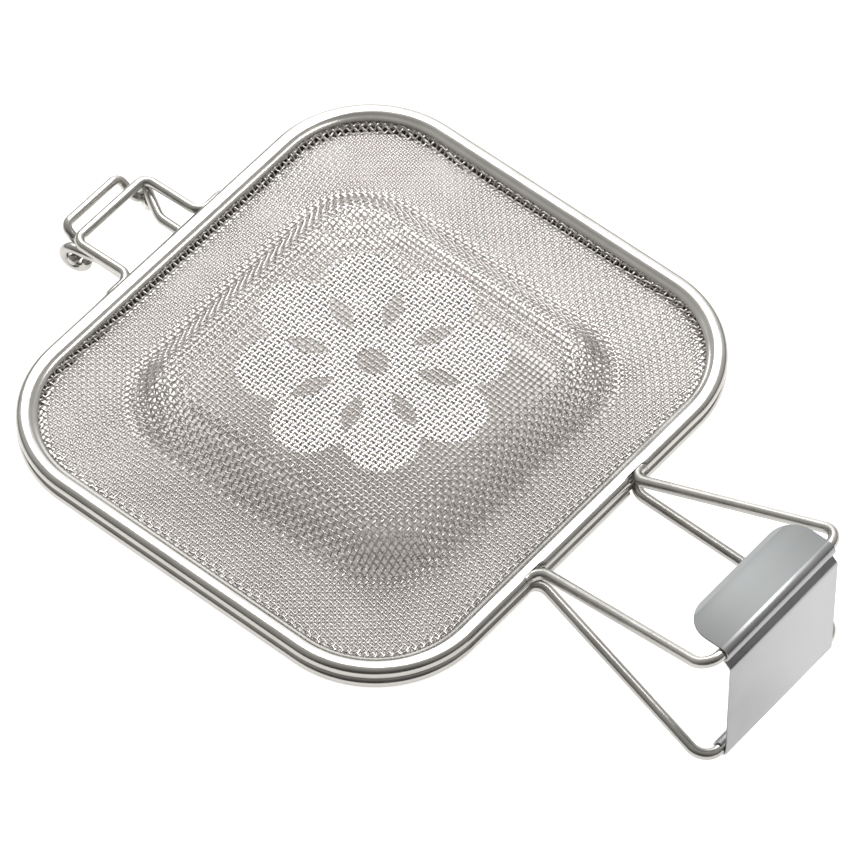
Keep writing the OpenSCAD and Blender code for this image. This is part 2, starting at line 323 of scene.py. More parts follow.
class Finish(Enum):
    """The finishes on the press."""

    ROLLED = Steel(
        "stainless_sheet_roll_formed_polished", "b7b5b1", "aeaca8", (0.16, 0.26)
    )
    WEAVE = Steel(
        "stainless_wire_woven_annealed", "e4e0dd", "d7d3d0", (0.2, 0.32),
        grain_mm=0.3, cloud_mm=16.0, cloudy=True,
    )
    DRAWN = Steel(
        "stainless_wire_drawn_polished", "bab8b4", "acaaa6", (0.22, 0.34),
        grain_mm=0.18,
    )
    SPRING = Steel(
        "stainless_spring_sheet_brushed", "a3a3a5", "98989a", (0.26, 0.38),
        grain_mm=0.12, stretch=90.0, cloud_mm=14.0, bump_mm=0.0015, blasted="838585",
    )
    MIRROR = Steel(
        "stainless_sheet_mirror_polished", "f6f5f5", "efeeee", (0.05, 0.1),
        grain_mm=0.5, cloud_mm=12.0, bump_mm=0.002, cloudy=True,
    )
    CORE = Steel(
        "steel_wire_plain_drawn", "a8a7a4", "989693", (0.3, 0.45),
        grain_mm=0.3, cloudy=True,
    )


# ---- mesh code


@dataclass
class Shell:
    """A mesh in the making: vertices in mm and faces as loops of indices.

    Attributes:
        points: Vertices, n by 3.
        loops: Vertex index of each face corner, one face after another.
        sizes: Number of corners of each face.
        uvs: UV of each vertex in metres, or None.
    """

    points: Array
    loops: Array
    sizes: Array
    uvs: Array | None = None

    def starts(self) -> Array:
        """Place of each face's first corner in the loops."""
        return np.concatenate([[0], np.cumsum(self.sizes)[:-1]])

    def mirrored(self) -> "Shell":
        """Turn the shell over in z, with its faces still outwards.

        Returns:
            The new shell.
        """
        starts = self.starts()
        face = np.repeat(np.arange(len(self.sizes)), self.sizes)
        place = np.arange(len(self.loops)) - starts[face]
        back = self.loops[starts[face] + self.sizes[face] - 1 - place]
        return Shell(self.points * [1, 1, -1], back, self.sizes, self.uvs)


@dataclass
class Workshop:
    """Turns shells into finished objects that ride on the frame.

    Attributes:
        origin: The modelling origin in the row frame, in metres.
        metals: The materials made so far.
    """

    origin: Array
    metals: dict[Finish, bpy.types.Material] = field(default_factory=dict)

    @classmethod
    def from_frame(cls) -> "Workshop":
        """Set up at the tray's place, read from the upper rim's CAD box.

        Returns:
            The workshop.
        """
        low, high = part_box("upper_rim_band")
        closing_z = low.z - RIM_GAP / 2 * MM
        return cls(np.array([(low.x + high.x) / 2, (low.y + high.y) / 2, closing_z]))

    def metal(self, finish: Finish) -> bpy.types.Material:
        """Give the material of a finish, made at the first call.

        Args:
            finish: The finish.

        Returns:
            Its material.
        """
        if finish not in self.metals:
            self.metals[finish] = finish.value.build()
        return self.metals[finish]

    def dress(self, obj: bpy.types.Object, finish: Finish) -> None:
        """Put a finish on all of an object's material slots.

        Args:
            obj: The CAD object.
            finish: Its finish.
        """
        if not obj.material_slots:
            obj.data.materials.append(None)
        for slot in obj.material_slots:
            slot.material = self.metal(finish)

    def make(
        self, name: str, shell: Shell, finish: Finish, body: Body,
        replaces: str, smooth_angle: float = 40.0,
    ) -> None:
        """Make one object from a shell and link it to the scene.

        Args:
            name, finish: Its name and finish.
            shell: The mesh in mm.
            body, replaces: CAD body it rides on, and node it stands for.
            smooth_angle: Edges sharper than this many degrees stay sharp.
        """
        mesh = bpy.data.meshes.new(name)
        co = (shell.points * MM + self.origin).astype(np.float32)
        faces = len(shell.sizes)
        mesh.vertices.add(len(co))
        mesh.vertices.foreach_set("co", co.ravel())
        mesh.loops.add(len(shell.loops))
        mesh.loops.foreach_set("vertex_index", shell.loops.astype(np.int32))
        mesh.polygons.add(faces)
        mesh.polygons.foreach_set("loop_start", shell.starts().astype(np.int32))
        mesh.polygons.foreach_set("use_smooth", np.ones(faces, bool))
        mesh.update(calc_edges=True)
        if shell.uvs is not None:
            layer = mesh.uv_layers.new(name="metres")
            uvs = shell.uvs[shell.loops].astype(np.float32)
            layer.data.foreach_set("uv", uvs.ravel())
        mesh.validate()
        mesh.set_sharp_from_angle(angle=math.radians(smooth_angle))
        obj = added(name, mesh)
        mesh.materials.append(self.metal(finish))
        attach(obj, body.value)
        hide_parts(replaces)
        LOG.info("%s: %d vertices, %d faces", name, len(co), faces)


def tube(rings: Array, closed: bool, uvs: Array) -> Shell:
    """Join rings of points into a closed mesh.

    Args:
        rings: n rings of m points, n by m by 3, each ring counter-clockwise as
            seen from ahead.
        closed: True if the last ring joins the first, else flat caps close it.
        uvs: n by m by 2 UVs.

    Returns:
        The closed mesh with outward faces.
    """
    n, m = rings.shape[:2]
    index = np.arange(n * m).reshape(n, m)
    nxt = np.roll(index, -1, axis=0) if closed else index[1:]
    here = index if closed else index[:-1]
    quads = np.stack(
        [here, np.roll(here, -1, axis=1), np.roll(nxt, -1, axis=1), nxt], axis=-1
    ).reshape(-1)
    sizes = np.full(len(quads) // 4, 4)
    if not closed:
        quads = np.concatenate([quads, index[0][::-1], index[-1]])
        sizes = np.concatenate([sizes, [m, m]])
    return Shell(rings.reshape(-1, 3), quads, sizes, uvs.reshape(-1, 2))


def sweep(
    path: Array, section: Array, ref: Sequence[float],
    closed: bool = False, swell: Array | None = None,
) -> Shell:
    """Carry a flat section along a path.

    Args:
        path: n by 3 points.
        section: m by 2 points, counter-clockwise: first across, then up.
        ref: A direction that the path never takes. "Across" is at right
            angles to it and to the path, and "up" lies on its side.
        closed: True for a path that joins its start.
        swell: Scale of the section at each point of the path, or None.

    Returns:
        The closed mesh. Its UVs run along the path and round the section.
    """
    if closed:
        ahead = np.roll(path, -1, axis=0) - np.roll(path, 1, axis=0)
    else:
        ahead = np.gradient(path, axis=0)
    ahead = unit(ahead)
    across = unit(np.cross(ahead, ref))
    up = np.cross(across, ahead)
    size = np.ones(len(path)) if swell is None else swell
    rings = path[:, None] + size[:, None, None] * (
        section[None, :, :1] * across[:, None] + section[None, :, 1:] * up[:, None]
    )
    length = running_length(path) * MM
    girth = np.linalg.norm(section - np.roll(section, 1, axis=0), axis=1)
    girth = np.cumsum(girth) * MM
    uvs = np.stack(np.broadcast_arrays(length[:, None], girth[None, :]), axis=-1)
    return tube(rings[:, ::-1], closed, uvs[:, ::-1])


def bent_path(corners: Sequence[Sequence[float]], radii: Sequence[float]) -> Array:
    """Line of a wire bent at its corners.

    Each bend is an arc that touches both straight runs: it starts on the first
    one and curls inwards, in the plane of both.

    Args:
        corners: Corner points, ends included.
        radii: Bend radius at each corner, 0 at both ends.

    Returns:
        Points along the wire, close together in the bends.
    """
    p = np.asarray(corners, float)
    line = [p[:1]]
    for before, corner, after, radius in zip(p, p[1:], p[2:], radii[1:]):
        a, b = unit(corner - before), unit(after - corner)
        turn = math.acos(float(np.clip(a @ b, -1, 1)))
        inward = unit(np.cross(np.cross(a, b), a))
        start = corner - a * radius * math.tan(turn / 2)
        t = np.linspace(0, turn, max(4, int(turn / BEND_STEP)))[:, None]
        line.append(start + radius * (np.sin(t) * a + (1 - np.cos(t)) * inward))
    path = np.concatenate(line + [p[-1:]])
    keep = np.linalg.norm(np.diff(path, axis=0), axis=1) > SHORTEST
    return path[np.concatenate([[True], keep])]


def densify(path: Array, step: float) -> Array:
    """Add points so that no step is too long.

    Args:
        path: Points along a line.
        step: Longest step.

    Returns:
        The line with those points added.
    """
    parts = []
    for a, b in zip(path[:-1], path[1:]):
        n = max(1, int(math.ceil(np.linalg.norm(b - a) / step)))
        parts.append(a + (b - a) * (np.arange(n) / n)[:, None])
    return np.concatenate(parts + [path[-1:]])


def wire(path: Array, diameter: float, ref: Sequence[float]) -> Shell:
    """A round wire along a path, its cut ends slightly rounded over.

    Args:
        path: Points along the wire.
        diameter: Wire diameter.
        ref: A direction that the wire never takes.

    Returns:
        The wire, closed with caps.
    """
    path = densify(path, WIRE_STEP)
    # each end has three rings: how far in they lie, and how thick they are
    lead = np.array([0.0, 0.1, 0.35]) * diameter / 2
    size = np.array([0.62, 0.86, 1.0])
    head = path[0] + unit(path[1] - path[0]) * lead[:, None]
    tail = path[-1] + unit(path[-2] - path[-1]) * lead[::-1, None]
    full = np.concatenate([head, path[1:-1], tail])
    swell = np.concatenate([size, np.ones(len(path) - 2), size[::-1]])
    a = np.arange(WIRE_SIDES) * 2 * np.pi / WIRE_SIDES
    circle = np.stack([np.cos(a), np.sin(a)], axis=1) * diameter / 2
    return sweep(full, circle, ref, swell=swell)


def wire_loop(
    half: Sequence[Sequence[float]], bends: Sequence[float], diameter: float
) -> Shell:
    """A wire loop with two like sides, from the corners of one, end first."""
    corners = [*half, *([x, -y, z] for x, y, z in half[::-1])]
    return wire(bent_path(corners, [0, *bends, *bends[::-1], 0]), diameter, UP)


def rounded_rectangle(half_x: float, half_y: float, corner: float) -> Array:
    """Points round a rounded rectangle, with a quarter circle at each corner.

    Args:
        half_x, half_y, corner: Half its size, and the radius of its corners.

    Returns:
        Points, counter-clockwise, n by 3 with z 0.
    """
    turn = np.linspace(0, np.pi / 2, CORNER_POINTS)
    cx, cy = half_x - corner, half_y - corner
    arcs = []
    for i, (x, y) in enumerate([(cx, cy), (-cx, cy), (-cx, -cy), (cx, -cy)]):
        a = turn + i * np.pi / 2
        arc = [x + corner * np.cos(a), y + corner * np.sin(a), 0 * a]
        arcs.append(np.stack(arc, 1))
    path = np.concatenate(arcs)
    return densify(np.concatenate([path, path[:1]]), RIM_STEP)[:-1]


def rectangle_distance(
    xy: Array, half_x: float, half_y: float, corner: float
) -> Array:
    """Distance of points from a rounded rectangle, negative inside it."""
    q = np.abs(xy) - np.array([half_x - corner, half_y - corner])
    return np.linalg.norm(np.maximum(q, 0), axis=-1) + np.minimum(q.max(-1), 0) - corner


# ---- the trays


@dataclass
class Rim:
    """The rolled band of a tray.

    Attributes:
        half_x, half_y, corner: Half the size of the roll's middle line, and
            the radius of its corners.
        width, height: Size of the roll.
        flange: Width of the lip inside the roll.
        flange_rise: Height of the lip over the roll's middle.
        roll_end: Degrees from the roll's outside to where the sheet leaves it.
        fall_end: How far from the lip's edge the fall to the lip ends.
        edge_round, edge_drop, edge_flat: How far the lip's edge is rounded
            back, how far its top drops there, and half its flat height.
        droop: How far the lip's edge leans down from its height.
        lean_floor: Only what is higher than this over the roll's middle leans.
        sheet: Thickness of the sheet.
        imprint: How far the weave presses through the lip.
        lean_start, imprint_start: How far inside the roll's inner side the lean
            and the imprint start.
        notch: Middle and half width of the notches that let out the handle.
        notch_depth: How far the notches reach in from the roll's outside.
    """

    half_x: float = 72.75
    half_y: float = 79.25
    corner: float = 31.25
    width: float = 4.5
    height: float = 3.9
    flange: float = 1.6
    flange_rise: float = 1.3
    roll_end: float = 100.0
    fall_end: float = 1.0
    edge_round: float = 0.12
    edge_drop: float = 0.02
    edge_flat: float = 0.1
    droop: float = 0.6
    lean_start: float = 0.6
    lean_floor: float = 0.5
    sheet: float = 0.45
    imprint: float = 0.09
    imprint_start: float = 0.3
    notch: Pair = (21.6, 3.0)
    notch_depth: float = 1.7

    def section(self) -> Array:
        """Outline of the roll with its lip.

        The roll is a half circle on each side of a short flat. From its top
        the sheet falls in an easy S-bend, a smoothstep, to the lip, which
        leans down towards its edge.

        Returns:
            m by 2 points, across (outwards) and up, counter-clockwise.
        """
        r, flat = self.height / 2, (self.width - self.height) / 2
        top = self.flange_rise + self.sheet / 2
        low = self.flange_rise - self.sheet / 2
        # round the roll from under the lip, down, right and over the top
        last = 2 * np.pi + np.radians(self.roll_end)
        a = np.linspace(np.pi - math.asin(low / r), last, ROLL_POINTS)
        side = np.where(np.cos(a) < 0, -flat, flat)
        roll = np.stack([side + r * np.cos(a), r * np.sin(a)], 1)
        tip = -self.width / 2 - self.flange
        t = np.linspace(0, 1, FALL_POINTS)[1:]
        x, z = roll[-1]
        fall = [x + (tip + self.fall_end - x) * t, z + (top - z) * smoothstep(t)]
        lip = [
            [tip + self.edge_round, top - self.edge_drop],
            [tip, self.flange_rise + self.edge_flat],
            [tip, self.flange_rise - self.edge_flat],
            [tip + self.edge_round, low],
        ]
        line = np.concatenate([roll, np.stack(fall, 1), np.array(lip)])
        inner = self.lean_start - self.width / 2
        share = (inner - line[:, 0]) / (self.flange + self.lean_start)
        lean = self.droop * np.clip(share, 0, 1)
        line[:, 1] -= lean * (line[:, 1] > self.lean_floor)
        return line

    def build(self) -> Shell:
        """The upper band's mesh; the lower one is its mirror image.

        The path's points lie half a wire pitch apart, so that the lip can rise
        and fall from one to the next where the cloth's wires press through.
        """
        rough = rounded_rectangle(self.half_x, self.half_y, self.corner)
        rough = np.concatenate([rough, rough[:1]])
        run = running_length(rough)
        count = 2 * int(run[-1] / WEAVE_PITCH)
        at = np.arange(count) * run[-1] / count
        path = np.stack([np.interp(at, run, rough[:, i]) for i in range(3)], 1)
        path[:, 2] = ROLL_MIDDLE
        section = self.section()
        shell = sweep(path, section, UP, closed=True)
        points = shell.points.reshape(count, len(section), 3)
        # sweep turns the section round; its points rise and fall two by two
        on_lip = section[::-1, 0] < self.imprint_start - self.width / 2
        row = np.arange(len(section)) // 2
        sign = (np.arange(count)[:, None] + row[None, :]) % 2 * 2 - 1
        points[..., 2] += self.imprint * sign * on_lip
        near = np.abs(np.abs(path[:, 1]) - self.notch[0]) < self.notch[1]
        cut = near & np.isclose(path[:, 0], self.half_x, rtol=0, atol=0.1)
        limit = self.half_x + self.width / 2 - self.notch_depth
        points[cut, :, 0] = np.minimum(points[cut, :, 0], limit)
        return shell


@dataclass
class WovenCloth:
    """Plain-woven wire cloth, pressed to the tray's shape.

    Attributes:
        wire, sides: Wire diameter, and the number of points round it.
        half_x, half_y, corner: Half the size of the raised panel, and the
            radius of its corners.
        edge_x, edge_y, edge_corner: The same of the cut edge inside the rim.
        slope_width, slope_bend: Width of the slope round the panel, in plan,
            and radius of its two bends.
        border_z: Height of the flat border over the closing plane.
        panel_z: Height of the panel.
        lip_z: Height of the edge that the rim's lip holds.
        lip_rise: How far from the cut edge the rise to it starts and ends.
        ease: Where a wire's pull starts to ease off, and over what length,
            both in half panels.
        reach: Half the size of the flat cloth that the press takes.
        crown: How far past a crossing a wire lies flat, in pitches.
        probe: Step by which the surface's slope is measured.
    """

    wire: float = 0.52
    sides: int = 5
    half_x: float = 38.0
    half_y: float = 38.5
    corner: float = 7.0
    slope_width: float = 18.0
    slope_bend: float = 9.5
    border_z: float = 0.9
    panel_z: float = 12.12
    lip_z: float = 1.95
    lip_rise: Pair = (4.0, 1.5)
    ease: Pair = (0.55, 1.15)
    edge_x: float = 70.3
    edge_y: float = 76.8
    edge_corner: float = 28.8
    reach: float = 90.0
    crown: float = 0.2
    probe: float = 0.05

    def profile(self) -> tuple[Array, Array, Array]:
        """Section through the slope, from the panel's edge outwards.

        Two arcs of the bend's radius and a straight run, which touches both
        arcs and crosses over between them.

        Returns:
            Length along the cloth, distance outwards in plan and height.
        """
        w, h, r = self.slope_width, self.panel_z - self.border_z, self.slope_bend
        run = math.sqrt(w * w + h * h - 4 * r * h)
        lift = h - 2 * r
        angle = math.atan2(lift, w) + math.asin(2 * r / math.hypot(w, lift))
        t = np.linspace(0, angle, SLOPE_POINTS)
        first = np.stack([r * t, r * np.sin(t), -r * (1 - np.cos(t))])
        t = t[::-1]
        length = 2 * r * angle + run - r * t
        last = np.stack([length, w - r * np.sin(t), r * (1 - np.cos(t)) - h])
        length, plan, height = np.concatenate([first, last], axis=1)
        return length, plan, height + self.panel_z

    def surface(self, u: Array, v: Array) -> Array:
        """Place points of the flat cloth on the pressed shape.

        The press draws the cloth inwards by the length that the slope takes
        up. A wire's pull is full where it crosses the panel and eases off to
        nothing towards the tray's corners, so wires bow but never kink. The
        height then follows from the distance to the panel's outline in plan,
        and from that to the cut edge, where the cloth rises to the rim's lip.

        Args:
            u, v: Places along x and y on the flat cloth.

        Returns:
            Points with a last axis of 3.
        """
        length, plan, height = self.profile()
        taken = length - plan
        start, span = self.ease

        def drawn(
            main: Array, half: float, other: Array, size: float
        ) -> Array:
            """Pull a coordinate inwards.

            Args:
                main, half: The coordinate, and half the panel along it.
                other, size: The other one, and half the panel along that.

            Returns:
                The coordinate on the pressed shape.
            """
            pull = np.interp(np.abs(main) - half, length, taken)
            t = np.clip((np.abs(other) - start * size) / (span * size), 0, 1)
            return main - np.sign(main) * pull * (1 - smoothstep(t))

        x = drawn(u, self.half_x, v, self.half_y)
        y = drawn(v, self.half_y, u, self.half_x)
        xy = np.stack([x, y], -1)
        out = rectangle_distance(xy, self.half_x, self.half_y, self.corner)
        far, close = self.lip_rise
        t = np.clip((far + self.edge_distance(xy)) / (far - close), 0, 1)
        rise = (self.lip_z - self.border_z) * smoothstep(t)
        z = np.interp(out, plan, height) + rise
        return np.concatenate([xy, z[..., None]], -1)

    def edge_distance(self, xy: Array) -> Array:
        """Distance from the cut edge, negative inside."""
        return rectangle_distance(xy, self.edge_x, self.edge_y, self.edge_corner)

    def family(self, along_x: bool) -> Shell:
        """All wires that run one way.

        Each wire rises over every other wire it crosses. Two rings sit at each
        crossing, one to each side, so that the wire lies flat there and slopes
        in between.

        Args:
            along_x: True for wires along x, False for wires along y.

        Returns:
            One mesh of all the wires, each closed with caps.
        """
        half = int(self.reach / WEAVE_PITCH)
        rows = np.arange(-half, half + 1)
        cross = np.repeat(rows, 2)
        nudge = np.tile([-self.crown, self.crown], len(rows))
        place = (cross + nudge) * WEAVE_PITCH
        row_at, place_at = np.meshgrid(rows * WEAVE_PITCH, place, indexing="ij")
        parity = (rows[:, None] + cross[None, :]) % 2 * 2 - 1
        if along_x:
            u, v, rise = place_at, row_at, parity
        else:
            u, v, rise = row_at, place_at, -parity
        base = self.surface(u, v)
        du = self.surface(u + self.probe, v) - base
        dv = self.surface(u, v + self.probe) - base
        normal = unit(np.cross(du, dv))
        line = base + normal * (rise * self.wire / 2)[..., None]
        ahead = unit(np.gradient(line, axis=1))
        across = unit(np.cross(normal, ahead))[:, :, None]
        up = np.cross(ahead, across[:, :, 0])[:, :, None]
        turn = np.arange(self.sides) * 2 * np.pi / self.sides + np.pi / 2
        turn = turn[:, None]
        ring = self.wire / 2 * (np.cos(turn) * across + np.sin(turn) * up)
        inside = self.edge_distance(base[..., :2]) < 0
        return self._stitch(line[:, :, None] + ring, inside)

    def _stitch(self, points: Array, inside: Array) -> Shell:
        """Join the rings that lie inside the cut edge into capped wires.

        Args:
            points: Rings along wires, last axis 3.
            inside: True for each ring inside the edge.

        Returns:
            One mesh of all the wires.
        """
        number = np.cumsum(inside.ravel()).reshape(inside.shape) - 1
        corner = np.arange(self.sides)
        pair = inside[:, :-1] & inside[:, 1:]
        a = number[:, :-1][pair][:, None] * self.sides
        b = number[:, 1:][pair][:, None] * self.sides
        turn = np.roll(corner, -1)
        quads = np.stack([a + corner, a + turn, b + turn, b + corner], -1)
        before = np.pad(inside[:, :-1], ((0, 0), (1, 0)))
        after = np.pad(inside[:, 1:], ((0, 0), (0, 1)))
        first = number[inside & ~before][:, None] * self.sides + corner[::-1]
        last = number[inside & ~after][:, None] * self.sides + corner
        loops = np.concatenate([quads.ravel(), first.ravel(), last.ravel()])
        caps = np.full(len(first) + len(last), self.sides)
        sizes = np.concatenate([np.full(quads.size // 4, 4), caps])
        return Shell(points[inside].reshape(-1, 3), loops, sizes)


@dataclass
class Tray:
    """One tray: its rim and its cloth.

    Attributes:
        side: "upper" or "lower", which is the upper one's mirror image.
        body: The CAD body it belongs to.
    """

    side: str
    body: Body

    def placed(self, shell: Shell) -> Shell:
        """Turn over what belongs to the lower tray."""
        return shell.mirrored() if self.side == "lower" else shell

    def build(self, shop: Workshop, nodes: dict[str, bpy.types.Object]) -> None:
        """Make the tray's pieces, and dress its core wire.

        Args:
            shop: Makes the objects.
            nodes: The CAD objects by name.
        """
        shop.make(
            f"{self.side}_rim", self.placed(Rim().build()), Finish.ROLLED,
            self.body, f"{self.side}_rim_band", 50.0,
        )
        for name, along_x in (("warp", True), ("weft", False)):
            wires = self.placed(WovenCloth().family(along_x))
            shop.make(
                f"{self.side}_cloth_{name}", wires, Finish.WEAVE,
                self.body, f"{self.side}_mesh", 75.0,
            )
        shop.dress(nodes[f"{self.side}_core_wire"], Finish.CORE)


# ---- the wires


@dataclass
class Handle:
    """A tray's handle loop, whose legs turn into the rim's roll.

    Attributes:
        side: "upper" or "lower".
        body: The CAD body it belongs to.
        bar: x and z of the bar.
        root_half, grip_half: Half the distance between the legs at the rim,
            and between the outer corners.
        grip_bend, root_bend: Bend radii at the outer corners and the roots.
        root_x, root_run: Where a leg turns along the roll, and how far it runs.
    """

    side: str
    body: Body
    bar: Pair
    root_half: float = 19.5
    grip_half: float = 28.6
    grip_bend: float = 5.0
    root_bend: float = 4.2
    root_x: float = 73.3
    root_run: float = 11.0

    def build(self, shop: Workshop) -> None:
        """Make the handle wire.

        Args:
            shop: Makes the object.
        """
        z = ROLL_MIDDLE if self.side == "upper" else -ROLL_MIDDLE
        half = [
            [self.root_x, self.root_half + self.root_run, z],
            [self.root_x, self.root_half, z],
            [self.bar[0], self.grip_half, self.bar[1]],
        ]
        shell = wire_loop(half, [self.root_bend, self.grip_bend], BAR_WIRE)
        shop.make(
            f"{self.side}_handle", shell, Finish.DRAWN,
            self.body, f"{self.side}_handle_wire",
        )


@dataclass
class Hinge:
    """The upper wire loop, the two eyes under the lower rim and the bail.

    Attributes:
        wire: Wire diameter of loop and eyes.
        axis_x: Place of the loop's bar and of the eyes.
        root_x: Where the wires start inside the roll.
        root_run, root_bend: Length of the loop's ends inside the roll, and
            the bend that leads to them.
        eye_turn, eye_step: How far an eye is curled and in what steps, in degrees.
        eyes: Name of each eye, and the arguments of eye().
        bail_arm, bail_tip: Half the distance between its arms and its tips.
        bail_lean: How far it leans back from upright, in degrees.
    """

    wire: float = 3.0
    axis_x: float = -94.5
    root_x: float = -74.15
    root_run: float = 9.0
    root_bend: float = 3.6
    loop_half: float = 14.5
    loop_bar_z: float = 1.3
    loop_bend: float = 3.2
    eye_radius: float = 3.6
    eye_turn: float = 285.0
    eye_step: float = 4.0
    eye_half: float = 14.6
    eyes: tuple[tuple[str, int, float, float], ...] = (
        ("left", -1, 13.0, 12.0),
        ("right", 1, 8.4, 30.0),
    )
    bail_wire: float = 2.8
    bail_arm: float = 11.2
    bail_tip: float = 16.9
    bail_reach: float = 8.6
    bail_lean: float = 54.5
    bail_bend: float = 2.4

    def loop(self) -> Shell:
        """The upper tray's loop, two legs and a bar.

        Returns:
            The wire.
        """
        half = [
            [self.root_x, self.loop_half + self.root_run, ROLL_MIDDLE],
            [self.root_x, self.loop_half, ROLL_MIDDLE],
            [self.axis_x, self.loop_half, self.loop_bar_z],
        ]
        return wire_loop(half, [self.root_bend, self.loop_bend], self.wire)

    def eye(self, side: int, root: float, slant: float) -> Shell:
        """A wire whose end is curled down into an eye.

        The curl is a circle in the upright plane that holds the wire's last
        heading: it starts at the circle's top and turns forwards and down.

        Args:
            side: -1 for the left eye, 1 for the right one.
            root: Distance of the wire's root from the middle.
            slant: Degrees that the last run turns outwards.

        Returns:
            The wire.
        """
        a = math.radians(slant)
        ahead = np.array([-math.cos(a), side * math.sin(a), 0])
        top = np.array([self.axis_x, side * self.eye_half, -ROLL_MIDDLE])
        jog = (self.eye_half - root) / math.sin(a)
        start = [self.root_x, side * root, -ROLL_MIDDLE]
        lead = bent_path([start, top - ahead * jog, top], [0, 2 * self.wire, 0])
        t = np.arange(self.eye_step, self.eye_turn + 1, self.eye_step)
        t = np.radians(t)[:, None]
        down = np.array([0, 0, -1.0])
        curl = top + self.eye_radius * (np.sin(t) * ahead + (1 - np.cos(t)) * down)
        return wire(np.concatenate([lead, curl]), self.wire, np.cross(down, ahead))

    def bail(self) -> Shell:
        """The open bail, its tips turned out through the eyes.

        Returns:
            The wire.
        """
        a = math.radians(self.bail_lean)
        foot = np.array([self.axis_x, 0, -ROLL_MIDDLE - self.eye_radius])
        far = foot + self.bail_reach * np.array([-math.sin(a), 0, math.cos(a)])
        arm, tip = np.array([0, self.bail_arm, 0]), np.array([0, self.bail_tip, 0])
        corners = [foot - tip, foot - arm, far - arm, far + arm, foot + arm, foot + tip]
        path = bent_path(corners, [0, *[self.bail_bend] * 4, 0])
        return wire(path, self.bail_wire, np.cross([0, 1, 0], far - foot))

    def build(self, shop: Workshop) -> None:
        """Make the hinge's four wires.

        Args:
            shop: Makes the objects.
        """
        pieces = [("hinge_loop", self.loop(), Body.LID, "upper_hinge_loop")]
        for name, *shape in self.eyes:
            node = f"hinge_eye_{name}"
            pieces.append((f"eye_{name}", self.eye(*shape), Body.LOWER, node))
        pieces.append(("bail", self.bail(), Body.BAIL, "hinge_bail"))
        for name, shell, body, node in pieces:
            shop.make(name, shell, Finish.DRAWN, body, node)


